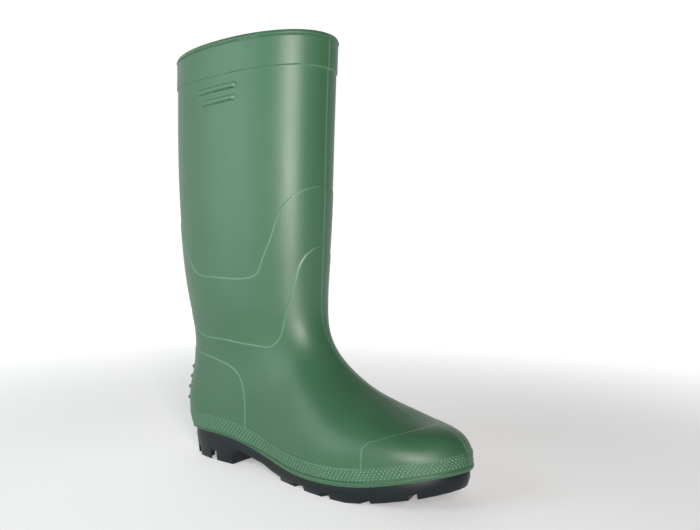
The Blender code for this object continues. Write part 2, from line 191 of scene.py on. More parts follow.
def half_width(x, z, outer):
    """Half width of the moulded skin at x and z: the foot below, the leg above, blended over the ankle."""
    widest = 36 + 12 * smooth((-x - 40) / 80) - 7 * smooth((x - 95) / 45)
    back, front = back_at(z), front_at(z)
    # The ridge and the toe's plan are stretched to end on the front line, so that both sides close there.
    ridge_x = np.interp(z, TOP_LINE[::-1, 1], TOP_LINE[::-1, 0])
    above = np.clip((z - TOP_LINE[-1, 1]) / 2, 0, 1)
    foot_x = back + (x - back) * (1 + above * ((ridge_x - back) / (front - back) - 1))
    to_toe = (TOE_TIP - front) * smooth((x - 90) / 60) * smooth((36 - z) / 4)
    plan_x = foot_x + (HEEL_TIP - back) * (1 - smooth((x - back) / 100)) + to_toe
    rise = np.clip((z - widest) / np.maximum(read(TOP_LINE, foot_x) - widest, 1), 0, 1)
    ridge = smooth((115 - x) / 60) * smooth((x + 60) / 50)
    power = 2.3 - np.where(outer, 0.4, 0.8) * ridge
    cap = (1 - rise**power) ** (1 / power)
    tuck = 1 - 0.03 * np.clip((widest - z) / 20, 0, 1) ** 2
    foot = np.where(outer, read(OUTER_SIDE, plan_x), read(INNER_SIDE, plan_x)) * cap * tuck
    across = np.clip((x - back) / (front - back), 0, 1)
    leg = read(LEG_LINE, z) * (1 - np.abs(2 * across - 1) ** LEG_POWER) ** (1 / LEG_POWER)
    high = smooth((z - 72) / 82)
    return (1 - high) * foot + high * leg


def on_skin(angle, level):
    """Points of the skin: angle runs round from the back by the outer side, level from 0 at the sole to 1."""
    angle = np.mod(angle, 2 * pi)
    where = np.clip(level, 0, 1) * (len(LEVEL_LINE) - 1)
    back_z, front_z, dip = (np.interp(where, np.arange(len(LEVEL_LINE)), LEVEL_LINE[:, i]) for i in range(3))
    part = (1 - np.cos(angle)) / 2
    back_x, front_x = back_at(back_z), front_at(front_z)
    x = back_x + (front_x - back_x) * part
    chord = read(FEATHER_LINE, back_x) * (1 - part) + read(FEATHER_LINE, front_x) * part
    z = back_z + (front_z - back_z) * part + dip * (read(FEATHER_LINE, x) - chord)
    outer = angle <= pi
    return np.stack([x, half_width(x, z, outer) * np.where(outer, -1, 1), z], 1)


def skin_normals(angle, level):
    """Outward unit normals of the skin there."""
    turn, climb = 0.012, 0.002
    round_it = on_skin(angle + turn, level) - on_skin(angle - turn, level)
    up_it = on_skin(angle, level + climb) - on_skin(angle, level - climb)
    out = np.cross(round_it, up_it)
    return out / np.maximum(np.linalg.norm(out, axis=1), 1e-9)[:, None]


def depth_at(level):
    return np.interp(level, LEVEL_AT, [row[3] for row in LEVELS])


def both_sides(points):
    """A side-view line laid on the skin, as points on the outer and then the inner side."""
    line = np.array(points, float)
    length = np.concatenate([[0], np.cumsum(np.linalg.norm(np.diff(line, axis=0), axis=1))])
    fine = np.arange(0, length[-1], 0.4)
    x, z = np.interp(fine, length, line[:, 0]), np.interp(fine, length, line[:, 1])
    return np.concatenate(
        [np.stack([x, half_width(x, z, outer) * (-1 if outer else 1), z], 1) for outer in (True, False)]
    )


def tree_of(points):
    tree = KDTree(len(points))
    for i, point in enumerate(points):
        tree.insert(point, i)
    tree.balance()
    return tree


def distances(tree, points):
    return np.array([tree.find(point)[2] for point in points])


def softened(line):
    """The line with its corners rounded."""
    return spline(line, 240)


LAYERS = {
    "upper_ankle": softened(UPPER_ANKLE),
    "lower_ankle": softened(LOWER_ANKLE),
    "heel_counter": softened(HEEL_COUNTER),
    "toe_cap": np.array(TOE_CAP, float),
}
NOWHERE = -1e3


def place(point):
    turned = np.array(((cos(LEAN), 0, -sin(LEAN)), (0, 1, 0), (sin(LEAN), 0, cos(LEAN))))
    return (np.array(point) @ turned.T + DATUM) * MM


def ledge(signed, half=0.4):
    """0 outside a layer, 1 on it, with a short slope across its edge."""
    return smooth((signed / half + 1) / 2)


class Relief:
    """What stands on the skin: layers, collar, bead, grips, spurs and the mould's flash line."""

    def __init__(self):
        self.layers = []
        for name, line in LAYERS.items():
            before = NOWHERE if name == "toe_cap" else line[0, 1]
            beyond = NOWHERE if name == "heel_counter" else line[-1, 1]
            self.layers.append((tree_of(both_sides(line)), line, before, beyond))
        self.grips = [tree_of(both_sides(ends)) for ends in GRIPS]
        self.spurs = []
        for z in SPURS:
            x = back_at(z) + SPUR_REACH * np.linspace(0, 1, 70) ** 2
            sides = [np.stack([x, side * half_width(x, z, side < 0), 0 * x + z], 1) for side in (-1, 1)]
            self.spurs.append(tree_of(np.concatenate(sides)))
        climb = np.linspace(0, 1, 900)
        self.flash = tree_of(
            np.concatenate([on_skin(np.full(900, turn), climb) for turn in (0, pi)])
        )

    def nearest(self, points, below_rim):
        """Distance from each point to the nearest edge of relief."""
        found = [distances(tree, points) for tree, *_ in self.layers]
        found += [np.abs(distances(tree, points) - GRIP_RADIUS * 0.8) for tree in self.grips]
        found += [np.maximum(distances(tree, points) - SPUR_RADIUS, 0) for tree in self.spurs]
        found.append(distances(self.flash, points))
        found.append(np.abs(points[:, 2] - read(COLLAR, points[:, 0])))
        found.append(np.abs(below_rim - BEAD_DEPTH))
        return np.min(found, axis=0)

    def at(self, points, below_rim):
        """(height above the skin, mask of painted highlight and painted shade along the relief) at each
        point.
        """
        x, z = points[:, 0], points[:, 2]
        height, edge = np.zeros(len(points)), np.zeros(len(points))
        for tree, line, before, beyond in self.layers:
            line_z = np.interp(x, line[:, 0], line[:, 1], left=before, right=beyond)
            away = distances(tree, points)
            signed = np.where(z < line_z, away, -away)
            height += LAYER_RISE * ledge(signed)
            # Painted highlight along each layer's edge, where its ledge would catch the light.
            edge = np.maximum(edge, 0.8 * np.exp(-(((signed - 0.2) / 0.45) ** 2)))
        for tree, (start, end) in zip(self.grips, GRIPS):
            away = distances(tree, points) / GRIP_RADIUS
            middle = np.interp(x, (start[0], end[0]), (start[1], end[1]))
            thicker = 0.7 + 0.3 * np.clip((x - start[0]) / (end[0] - start[0]), 0, 1)
            height += GRIP_RISE * thicker * (1 - np.clip(away, 0, 1) ** 4) ** 0.5
            # Painted highlight round each grip, strongest at its front end, and painted shadow under it.
            edge = np.maximum(edge, np.exp(-(((away - 0.6) / 0.3) ** 2)) * np.where(x > end[0], 1, 0.4))
            under = smooth((middle - z) / 1.2) * smooth((1.6 - away) / 0.5)
            edge = np.where(x < end[0], edge * (1 - under) - 0.9 * under, edge)
        for tree in self.spurs:
            away = distances(tree, points) / SPUR_RADIUS
            height += SPUR_RISE * np.sqrt(np.clip(1 - away**2, 0, 1))
        over_collar = z - read(COLLAR, x)
        collar_light_and_shade = 1.5 * smooth((x + 25) / 40) - 1  # painted shade round the back and sides, painted highlight in front
        edge += collar_light_and_shade * 0.7 * np.exp(-(((over_collar + 0.2) / 0.6) ** 2))
        # Painted shade in the groove under the bead.
        edge -= 0.8 * np.exp(-(((below_rim - BEAD_DEPTH - 0.3) / 0.6) ** 2))
        collar = ledge(over_collar, 0.35)
        height = np.where(collar > 0, height * (1 - collar) + COLLAR_RISE * collar, height)
        bead = np.clip(1 - (np.abs(below_rim - BEAD_DEPTH / 2) / (BEAD_DEPTH / 2)) ** 2.4, 0, 1)
        height += np.where(below_rim < BEAD_DEPTH, (BEAD_RISE - COLLAR_RISE) * bead, 0)
        height -= GROOVE_DEPTH * np.exp(-(((below_rim - BEAD_DEPTH - 0.3) / 0.5) ** 2))
        away = distances(self.flash, points)
        height += FLASH_RISE * np.exp(-((away / FLASH_HALF) ** 2))
        flash_highlight = 0.6 + 0.9 * smooth((x - 50) / 60)  # painted highlight along the flash line, most over the toes
        edge = np.maximum(edge, flash_highlight * np.exp(-((away / 0.7) ** 2)))
        return height, edge


def finish(name, bm, materials, body, smooth_angle=None):
    """Makes the piece's mesh and object in its place in the frame, and hangs it on its body."""
    mesh = bpy.data.meshes.new(name)
    bm.to_mesh(mesh)
    bm.free()
    mesh.shade_smooth()
    if smooth_angle:
        mesh.set_sharp_from_angle(angle=radians(smooth_angle))
    piece = bpy.data.objects.new(name, mesh)
    bpy.context.scene.collection.objects.link(piece)
    for made in materials:
        mesh.materials.append(made)
    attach(piece, body)
    return piece


def coordinates(bm):
    return np.array([vertex.co for vertex in bm.verts])


def move_all(bm, points):
    for vertex, point in zip(bm.verts, place(points)):
        vertex.co = point


def keep_mask(bm, values):
    """Keeps the mask of painted highlight and painted shade along the relief on the vertices, for the
    material to read.
    """
    layer = bm.verts.layers.float.new("edge")
    for vertex, value in zip(bm.verts, values):
        vertex[layer] = value


def close_tube(bm):
    """Joins the seam of a grid that was rolled up, and its two ends."""
    bmesh.ops.remove_doubles(bm, verts=bm.verts, dist=MERGE * MM)
    ends = [edge for edge in bm.edges if edge.is_boundary]
    bmesh.ops.bridge_loops(bm, edges=ends)
    bmesh.ops.recalc_face_normals(bm, faces=bm.faces)


def parameter_grid(columns, rows):
    """A flat grid whose vertices' x and y run from 0 to 1, kept in a UV map too."""
    bm = bmesh.new()
    bm.loops.layers.uv.new("wrap")
    bmesh.ops.create_grid(bm, x_segments=columns, y_segments=rows, size=0.5, calc_uvs=True)
    bmesh.ops.translate(bm, verts=bm.verts, vec=(0.5, 0.5, 0))
    return bm


# Where the skin's section passes from its inner wall to the rounded rim, and on to its outer wall.
INNER_SHARE, RIM_SHARE = 0.12, 0.15
RIM_DROP, RIM_FADE = 1.85, 6  # the round of the rim is let down, so that it tops out at the rim's height
FINEST, COARSER = 0.65, 0.9  # longest edge at the relief, and how much longer for each millimetre away
REFINEMENTS = 4
MERGE = 0.01


def skin_section(u, v):
    """For points of the skin's section: turn, level, depth, lift and whether they lie on the outer wall."""
    angle = 2 * pi * u
    inside, over = v < INNER_SHARE, (v >= INNER_SHARE) & (v < RIM_SHARE)
    level = np.where(inside, v / INNER_SHARE, np.where(over, 1, 1 - (v - RIM_SHARE) / (1 - RIM_SHARE)))
    arc = pi * (v - INNER_SHARE) / (RIM_SHARE - INNER_SHARE)
    middle, half = (SKIN_WALL - COLLAR_RISE) / 2, (SKIN_WALL + COLLAR_RISE) / 2
    depth = np.where(inside, depth_at(level), np.where(over, middle + half * np.cos(arc), 0))
    lift = np.where(over, half * np.sin(arc), 0)
    return angle, level, depth, lift, v >= RIM_SHARE


def make_skin(relief, material):
    """Leg and foot in one moulding, with its relief, from the rim down behind the foxing band."""
    bm = parameter_grid(SKIN_COLUMNS, SKIN_ROWS)

    def laid(flat):
        angle, level, depth, lift, outside = skin_section(flat[:, 0], flat[:, 1])
        points = on_skin(angle, level)
        below_rim = on_skin(angle, np.ones(len(angle)))[:, 2] - points[:, 2]
        return angle, level, depth, lift, outside, points, below_rim

    for _ in range(REFINEMENTS):
        flat = coordinates(bm)
        *_, outside, points, below_rim = laid(flat)
        near = np.full(len(points), 1e3)
        near[outside] = relief.nearest(points[outside], below_rim[outside])
        bm.verts.ensure_lookup_table()
        bm.verts.index_update()
        cut = []
        for edge in bm.edges:
            a, b = (vertex.index for vertex in edge.verts)
            length = np.linalg.norm(points[a] - points[b])
            if length > FINEST + COARSER * min(near[a], near[b]):
                cut.append(edge)
        if not cut:
            break
        bmesh.ops.subdivide_edges(bm, edges=cut, cuts=1, use_grid_fill=True)
    angle, level, depth, lift, outside, points, below_rim = laid(coordinates(bm))
    out = skin_normals(angle, level)
    height, edge = np.zeros(len(points)), np.zeros(len(points))
    height[outside], edge[outside] = relief.at(points[outside], below_rim[outside])
    points = points + out * (height - depth)[:, None]
    points[:, 2] += lift - RIM_DROP * np.clip(1 - below_rim / RIM_FADE, 0, 1)
    keep_mask(bm, edge)
    move_all(bm, points)
    close_tube(bm)
    return finish("upper_skin", bm, [material], "boot")


def ridge(phase):
    """A sharper ridge per unit of phase, from 0 to 1."""
    return 1 - 2 * np.abs(phase - np.round(phase))


def make_foxing(material):
    """Foxing band round the foot, with the welt strip that laps over the sole's top edge."""
    top = LEVEL_AT[FOXING_TOP]
    turn = np.linspace(0, 2 * pi, 4001)
    path = on_skin(turn, np.full(len(turn), top / 2))
    arc = np.concatenate([[0], np.cumsum(np.linalg.norm(np.diff(path, axis=0), axis=1))])

    bm = parameter_grid(BAND_COLUMNS, BAND_ROWS)
    flat = coordinates(bm)
    along = flat[:, 0] * arc[-1]
    angle = np.interp(along, arc, turn)
    foot = on_skin(angle, np.zeros(len(angle)))
    head = on_skin(angle, np.full(len(angle), top))
    tall = head[:, 2] - foot[:, 2]
    x = foot[:, 0]
    strip = STRIP_HEEL + (STRIP_TOE - STRIP_HEEL) * smooth((x + 60) / 50)
    # Rows: under the strip, its face, the groove, the ribbed band, its plain lip, and in behind the skin.
    marks = [0, 0.08, 0.22, 0.30, 0.36, 0.88, 0.94, 1]
    _, strip_low, strip_top, _, band_low, band_top, lip_top, _ = marks
    row = flat[:, 1]
    groove_top = strip + GROOVE_TALL
    heights = [0 * x, 0 * x, strip, groove_top, groove_top + 0.4, tall - LIP, tall, tall - LIP_TURN]
    rises = [-3.0, STRIP_RISE - 0.5, STRIP_RISE, GROOVE_RISE, BAND_RISE, BAND_RISE, BAND_RISE - 0.3, -1.2]
    rise = np.interp(row, marks, rises)
    height = heights[0]
    for before, after, low, high in zip(marks, marks[1:], heights, heights[1:]):
        part = np.clip((row - before) / (after - before), 0, 1)
        height = np.where(row >= before, low + (high - low) * part, height)
    face = (row > strip_low) & (row < strip_top)
    up_face = np.clip((row - strip_low) / (strip_top - strip_low), 0, 1)
    rise = rise + np.where(face, STRIP_BULGE * np.sin(pi * up_face), 0)
    side = np.minimum(along, arc[-1] - along)  # from the back of the heel, along either side
    ragged = np.sin(side * 1.9) * np.sin(side * 0.83 + 1) + 0.73 * np.sin(side * 4.3)
    forefoot = smooth((x + 45) / 60)
    height = height + np.where(row <= strip_low + 0.03, STRIP_RAGGED * ragged * forefoot, 0)
    slanted = ridge((side - height * RIB_SLANT) / RIB_PITCH)
    crossed = np.minimum(
        ridge((side - height * KNURL_SLANT) / KNURL_PITCH), ridge((side + height * KNURL_SLANT) / KNURL_PITCH)
    )
    knurl = smooth((x - 22) / 26)
    ribs = slanted * (1 - knurl) + 1.25 * crossed * knurl
    within = smooth((row - band_low) / 0.02) * smooth((band_top - row) / 0.02)
    ribbed = smooth((np.abs(foot[:, 1]) - 3) / 3)  # not where the flash line crosses
    rise = rise + RIB_RISE * (ribs - 0.5) * within * ribbed

    level = top * np.clip(height / tall, 0, 1)
    points = on_skin(angle, level)
    points[:, 2] = foot[:, 2] + height
    out = skin_normals(angle, np.clip(level, 0.01, 1))
    flash = np.exp(-((foot[:, 1] / 0.7) ** 2)) * (row > strip_low) * (row < lip_top)
    rise = rise + FLASH_RISE * flash
    points = points + out * rise[:, None]
    # The edge mask paints light and shade: painted highlight on the rib and knurl tops and painted shade
    # between them, painted shade in the groove over the strip and a little over the strip's face, and painted
    # highlight along the band's top edge and, unevenly, along the strip's lower edge.
    painted_rib_light = np.clip(1.9 * ribs - 0.75, -0.7, 1.2) * (0.55 + 0.45 * knurl)
    mask = np.where(within > 0, painted_rib_light * ribbed * within, np.where(face, -0.25, 0))
    mask = np.maximum(mask, np.exp(-(((row - band_top - 0.01) / 0.02) ** 2)) * 0.6)
    mask = np.where((row > strip_top) & (row < band_low), -1, mask)
    uneven_edge_highlight = 0.6 + 0.4 * np.sin(side * 1.3) * np.sin(side * 0.57 + 2)
    along_edge = np.exp(-(((row - strip_low) / 0.02) ** 2)) * (row > strip_low - 0.03)
    keep_mask(bm, np.maximum(mask, uneven_edge_highlight * along_edge))
    move_all(bm, points)
    close_tube(bm)
    return finish("foxing_band", bm, [material], "boot")


def ring(angle, level, depth, height):
    """A low level of the skin moved in by a depth and laid at a height over the feather line."""
    points = on_skin(angle, level) - skin_normals(angle, level) * depth
    points[:, 2] = read(FEATHER_LINE, points[:, 0]) + height
    return points


BOARD_TOP, LINING_GAP, LINING, FLOOR_DEPTH = 2.3, 0.75, 1.1, 5.2
LINING_COLUMNS, LINING_ROWS, FLOOR_SHARE = 160, 150, 0.14
LINING_DROP = 2.6


def make_lining(material):
    """Knitted sock bonded inside: down the wall of the leg and foot, and closed along the sole's middle."""
    bm = parameter_grid(LINING_COLUMNS, LINING_ROWS)
    flat = coordinates(bm)
    angle, v = 2 * pi * flat[:, 0], flat[:, 1]
    low = LEVEL_AT[FOXING_TOP] * 0.17
    floor = v > 1 - FLOOR_SHARE
    level = np.where(floor, low, 1 - (1 - low) * v / (1 - FLOOR_SHARE))
    depth = depth_at(level) + LINING_GAP
    points = on_skin(angle, level) - skin_normals(angle, level) * depth[:, None]
    points[:, 2] -= LINING_DROP * smooth((level - 0.9) / 0.1)
    sole = ring(angle, np.full(len(angle), low), FLOOR_DEPTH + LINING_GAP, BOARD_TOP)
    shrink = np.clip((1 - v) / FLOOR_SHARE, 0, 1)
    sole[:, 1] *= shrink
    settle = smooth((v - (1 - FLOOR_SHARE) + 0.03) / 0.03)[:, None]
    points = np.where(floor[:, None], sole, points * (1 - settle) + sole * settle)
    move_all(bm, points)
    bmesh.ops.remove_doubles(bm, verts=bm.verts, dist=MERGE * MM)
    bmesh.ops.recalc_face_normals(bm, faces=bm.faces)
    piece = finish("knit_lining", bm, [material], "boot")
    wall = piece.modifiers.new("thickness", "SOLIDIFY")
    wall.thickness, wall.offset, wall.use_even_offset = LINING * MM, -1, False
    return piece


FOOTBED_LOW, FOOTBED_THICK, FOOTBED_EDGE = 3.9, 4.0, 8.3
FOOTBED_COLUMNS, FOOTBED_ROWS = 160, 44


def make_footbed(top_material, foam):
    """Footbed: felt over foam, cupped at the heel, with a rounded edge."""
    bm = parameter_grid(FOOTBED_COLUMNS, FOOTBED_ROWS)
    flat = coordinates(bm)
    angle, v = 2 * pi * flat[:, 0], flat[:, 1]
    low = np.full(len(angle), LEVEL_AT[FOXING_TOP] * 0.17)
    edge = ring(angle, low, FOOTBED_EDGE, FOOTBED_LOW)
    over, under = v < 0.42, v > 0.62
    arc = pi * np.clip((v - 0.42) / 0.2, 0, 1)
    shrink = np.where(over, v / 0.42, np.where(under, (1 - v) / 0.38, 1))
    round_over = 0.8 * (1 - np.sin(arc))
    edge = edge - skin_normals(angle, low) * round_over[:, None] * np.array((1, 1, 0))
    x = edge[:, 0]
    cup = 0.9 * smooth((-x - 20) / 60) * (shrink**3 - 0.5)
    crown = 0.35 * np.sin(pi * np.clip(shrink, 0, 1))
    thick = FOOTBED_THICK - 0.3
    rise = np.where(over, thick + cup * 0.8 + crown, np.where(under, 0, thick * (1 + np.cos(arc)) / 2))
    rise = np.where(~over & ~under, rise + cup * 0.8 * (1 + np.cos(arc)) / 2, rise)
    edge[:, 1] *= shrink
    edge[:, 2] = read(FEATHER_LINE, x) + FOOTBED_LOW + rise
    move_all(bm, edge)
    bmesh.ops.remove_doubles(bm, verts=bm.verts, dist=MERGE * MM)
    bmesh.ops.recalc_face_normals(bm, faces=bm.faces)
    for face in bm.faces:
        face.material_index = 0 if face.normal.z > 0.5 else 1
    piece = finish("footbed", bm, [top_material, foam], "footbed")
    return piece


EDGE_ROUND, SHARP_EDGE, FLAT_ENOUGH = 0.45, radians(35), radians(1.5)
TREAD_HIGH, TOE_SPRING_FROM = 4, 60  # the tread lies below this height, or ahead of this x


def make_outsole(tread, sides):
    """Outsole worked up from the CAD block: edges rounded, and treads grained apart from the walls."""
    bm = bmesh.new()
    bm.from_mesh(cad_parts["outsole"].data)
    bmesh.ops.remove_doubles(bm, verts=bm.verts, dist=0.002 * MM)
    bmesh.ops.dissolve_limit(
        bm, angle_limit=FLAT_ENOUGH, verts=bm.verts, edges=bm.edges, use_dissolve_boundaries=False,
        delimit=set(),
    )
    sharp = [edge for edge in bm.edges if edge.is_manifold and edge.calc_face_angle() > SHARP_EDGE]
    bmesh.ops.bevel(
        bm, geom=sharp, offset=EDGE_ROUND * MM, offset_type="OFFSET", segments=2, profile=0.5, affect="EDGES",
        clamp_overlap=True, material=-1,
    )
    for face in bm.faces:
        middle = face.calc_center_median()
        low = middle.z < TREAD_HIGH * MM or middle.x > TOE_SPRING_FROM * MM
        face.material_index = 0 if face.normal.z < -0.85 and low else 1
    return finish("lugged_sole", bm, [tread, sides], "boot", smooth_angle=35)


def new_group(name, inputs, outputs):
    """An empty node group with these sockets, as (name, kind) pairs, and its input and output nodes."""
    tree = bpy.data.node_groups.new(name, "ShaderNodeTree")
    for label, kind in inputs:
        tree.interface.new_socket(label, in_out="INPUT", socket_type=kind)
    for label, kind in outputs:
        tree.interface.new_socket(label, in_out="OUTPUT", socket_type=kind)
    return tree, tree.nodes.new("NodeGroupInput"), tree.nodes.new("NodeGroupOutput")


def add(tree, kind, settings=None, **inputs):
    """A node with these settings; an input is a value, or a socket to link from. _0 means input number 0."""
    made = tree.nodes.new(kind)
    for key, value in (settings or {}).items():
        setattr(made, key, value)
    for key, value in inputs.items():
        socket = made.inputs[int(key[1:])] if key[0] == "_" else made.inputs[key.replace("_", " ")]
        if isinstance(value, bpy.types.NodeSocket):
            tree.links.new(value, socket)
        else:
            socket.default_value = value
    return made


def math(tree, operation, a, b=0.0, clamp=False):
    return add(tree, "ShaderNodeMath", {"operation": operation, "use_clamp": clamp}, _0=a, _1=b).outputs[0]


def plus(tree, a, b):
    return math(tree, "ADD", a, b)


def minus(tree, a, b):
    return math(tree, "SUBTRACT", a, b)


def times(tree, a, b, clamp=False):
    return math(tree, "MULTIPLY", a, b, clamp)


def noise(tree, vector, scale, detail=2.0, roughness=0.5):
    settings = {"Scale": scale, "Detail": detail, "Roughness": roughness}
    return add(tree, "ShaderNodeTexNoise", None, Vector=vector, **settings).outputs[0]


FLOAT, VECTOR = "NodeSocketFloat", "NodeSocketVector"


def moulded_group():
    """Moulded plastic: slow clouding of the colour, faint flow marks and a fine satin grain."""
    tree, given, out = new_group(
        "moulded_plastic", [("Position", VECTOR), ("Grain", FLOAT)],
        [("Cloud", FLOAT), ("Smear", FLOAT), ("Height", FLOAT)],
    )
    at = given.outputs["Position"]
    cloud = plus(tree, times(tree, noise(tree, at, 22, 3), 0.65), times(tree, noise(tree, at, 160, 2), 0.35))
    stretched = add(tree, "ShaderNodeMapping", None, Vector=at, Scale=(60, 60, 14)).outputs[0]
    smear = noise(tree, stretched, 1, 3, 0.6)
    grain = times(tree, noise(tree, at, 2600, 2, 0.6), given.outputs["Grain"])
    swell = times(tree, noise(tree, at, 300, 2), 0.7)
    pores = math(tree, "GREATER_THAN", noise(tree, at, 900, 1), 0.71)
    unpitted = times(tree, minus(tree, 1, pores), 0.3)
    height = plus(tree, plus(tree, grain, swell), unpitted)
    for label, value in (("Cloud", cloud), ("Smear", smear), ("Height", height)):
        tree.links.new(value, out.inputs[label])
    return tree


def painted_light_group():
    """Painted highlight and painted shade along the relief: the edge mask broken up by noise, as separate
    light and dark shares.
    """
    tree, given, out = new_group(
        "painted_edge_light", [("Position", VECTOR), ("Mask", FLOAT)], [("Painted Highlight", FLOAT), ("Painted Shade", FLOAT)]
    )
    patchy = plus(tree, 0.55, times(tree, noise(tree, given.outputs["Position"], 180, 3), 0.9))
    for label, sign in (("Painted Highlight", 1), ("Painted Shade", -1)):
        share = math(tree, "MAXIMUM", times(tree, given.outputs["Mask"], sign), 0)
        tree.links.new(times(tree, share, patchy, clamp=True), out.inputs[label])
    return tree


def rubber_group():
    """Black rubber: a coarse spark-eroded grain, and dust lying in it."""
    tree, given, out = new_group(
        "rubber_grain", [("Position", VECTOR), ("Scale", FLOAT)], [("Height", FLOAT), ("Dust", FLOAT)]
    )
    at, scale = given.outputs["Position"], given.outputs["Scale"]
    cells = add(tree, "ShaderNodeTexVoronoi", {"feature": "F1"}, Vector=at, Scale=scale).outputs["Distance"]
    height = plus(tree, times(tree, cells, 0.8), noise(tree, at, 700, 3, 0.65))
    dust = times(tree, minus(tree, noise(tree, at, 420, 3, 0.7), 0.52), 5, clamp=True)
    tree.links.new(height, out.inputs["Height"])
    tree.links.new(dust, out.inputs["Dust"])
    return tree


def knit_group():
    """Plain knit from a UV in stitches: columns of V-shaped loops, as a height and a painted shading that is
    darker in the hollows.
    """
    tree, given, out = new_group("plain_knit", [("Stitches", VECTOR)], [("Height", FLOAT), ("Painted Loop Shading", FLOAT)])
    parts = add(tree, "ShaderNodeSeparateXYZ", None, _0=given.outputs["Stitches"])
    across, along = parts.outputs[0], parts.outputs[1]
    in_column = math(tree, "FRACT", across)
    from_middle = math(tree, "ABSOLUTE", minus(tree, in_column, 0.5))
    tilt = plus(tree, along, times(tree, from_middle, 1.1))
    loop = math(tree, "ABSOLUTE", math(tree, "SINE", times(tree, tilt, pi)))
    groove = math(tree, "SINE", times(tree, in_column, pi))
    height = times(tree, math(tree, "POWER", loop, 0.6), math(tree, "POWER", groove, 0.5))
    fluff = noise(tree, given.outputs["Stitches"], 6, 3, 0.7)
    height = plus(tree, height, times(tree, fluff, 0.25))
    tree.links.new(height, out.inputs["Height"])
    tree.links.new(times(tree, height, 0.9, clamp=True), out.inputs["Painted Loop Shading"])
    return tree


GROUPS = {"moulded": moulded_group(), "painted_light": painted_light_group(), "rubber": rubber_group(), "knit": knit_group()}


def place_group(tree, key, **inputs):
    made = add(tree, "ShaderNodeGroup", {"node_tree": GROUPS[key]})
    for label, value in inputs.items():
        if isinstance(value, bpy.types.NodeSocket):
            tree.links.new(value, made.inputs[label])
        else:
            made.inputs[label].default_value = value
    return made.outputs


def start_material(name, roughness, **constants):
    made = bpy.data.materials.new(name)
    made.use_nodes = True
    tree = made.node_tree
    shader = tree.nodes["Principled BSDF"]
    shader.inputs["Roughness"].default_value = roughness
    for key, value in constants.items():
        shader.inputs[key.replace("_", " ")].default_value = value
    position = add(tree, "ShaderNodeTexCoord").outputs["Object"]
    return made, tree, shader, position


def mix(tree, share, first, second):
    made = add(tree, "ShaderNodeMix", {"data_type": "RGBA"})
    for socket, value in ((made.inputs[0], share), (made.inputs[6], first), (made.inputs[7], second)):
        if isinstance(value, bpy.types.NodeSocket):
            tree.links.new(value, socket)
        else:
            socket.default_value = value if isinstance(value, float) else (*value, 1)
    return made.outputs[2]


def bump(tree, shader, height, distance, strength=1.0):
    made = add(tree, "ShaderNodeBump", None, Height=height, Strength=strength, Distance=distance * MM)
    tree.links.new(made.outputs[0], shader.inputs["Normal"])


GREEN_DEEP, GREEN, GREEN_PAINTED_HIGHLIGHT = (0.026, 0.084, 0.040), (0.038, 0.114, 0.058), (0.150, 0.340, 0.200)
GREEN_PAINTED_SHADE = (0.006, 0.036, 0.012)


def green_plastic():
    made, tree, shader, position = start_material("green_pvc", 0.38, Specular_IOR_Level=0.5)
    plastic = place_group(tree, "moulded", Position=position, Grain=0.5)
    mask = add(tree, "ShaderNodeAttribute", {"attribute_name": "edge"}).outputs["Fac"]
    painted_light = place_group(tree, "painted_light", Position=position, Mask=mask)
    colour = mix(tree, plastic["Cloud"], GREEN_DEEP, GREEN)
    # Painted highlight on the edges and painted shade in grooves and under ribs, mixed into the colour.
    colour = mix(tree, times(tree, painted_light["Painted Highlight"], 0.55), colour, GREEN_PAINTED_HIGHLIGHT)
    colour = mix(tree, times(tree, painted_light["Painted Shade"], 0.9), colour, GREEN_PAINTED_SHADE)
    tree.links.new(colour, shader.inputs["Base Color"])
    rough = plus(tree, 0.36, times(tree, plastic["Smear"], 0.14))
    tree.links.new(rough, shader.inputs["Roughness"])
    bump(tree, shader, plastic["Height"], 0.02)
    return made


BLACK, BLACK_DUSTY = (0.002, 0.006, 0.008), (0.020, 0.030, 0.033)


def black_rubber(name, scale, depth, dust):
    made, tree, shader, position = start_material(name, 0.5, Specular_IOR_Level=0.32)
    grain = place_group(tree, "rubber", Position=position, Scale=scale)
    colour = mix(tree, times(tree, grain["Dust"], dust), BLACK, BLACK_DUSTY)
    tree.links.new(colour, shader.inputs["Base Color"])
    rough = plus(tree, 0.42, times(tree, grain["Dust"], 0.25))
    tree.links.new(rough, shader.inputs["Roughness"])
    bump(tree, shader, grain["Height"], depth)
    return made


STITCH_COLUMNS, STITCH_ROWS = 210, 460
YARN_PAINTED_SHADE, YARN, YARN_SOILED = (0.16, 0.165, 0.15), (0.50, 0.50, 0.46), (0.33, 0.32, 0.28)


def knit():
    made, tree, shader, position = start_material("knit", 0.9, Sheen_Weight=0.3)
    wrap = add(tree, "ShaderNodeUVMap", {"uv_map": "wrap"}).outputs[0]
    counts = (STITCH_COLUMNS, STITCH_ROWS, 1)
    stitches = add(tree, "ShaderNodeMapping", None, Vector=wrap, Scale=counts).outputs[0]
    loops = place_group(tree, "knit", Stitches=stitches)
    cloud = noise(tree, position, 60, 3)
    # The yarn is painted darker down in the loops' hollows and lighter on their tops: painted shade and
    # highlight.
    colour = mix(tree, loops["Painted Loop Shading"], YARN_PAINTED_SHADE, YARN)
    colour = mix(tree, times(tree, cloud, 0.25), colour, YARN_SOILED)
    tree.links.new(colour, shader.inputs["Base Color"])
    bump(tree, shader, loops["Height"], 0.35)
    return made


def speckled(name, dark, light, scale, depth, roughness):
    """Pressed or felted stock: two colours broken up at two scales."""
    made, tree, shader, position = start_material(name, roughness)
    coarse, fine = noise(tree, position, scale, 3, 0.7), noise(tree, position, scale * 6, 2)
    both = plus(tree, coarse, times(tree, fine, 0.4))
    share = times(tree, minus(tree, both, 0.35), 1.6, clamp=True)
    tree.links.new(mix(tree, share, dark, light), shader.inputs["Base Color"])
    bump(tree, shader, share, depth)
    return made


FLOOR_RADIUS = 30


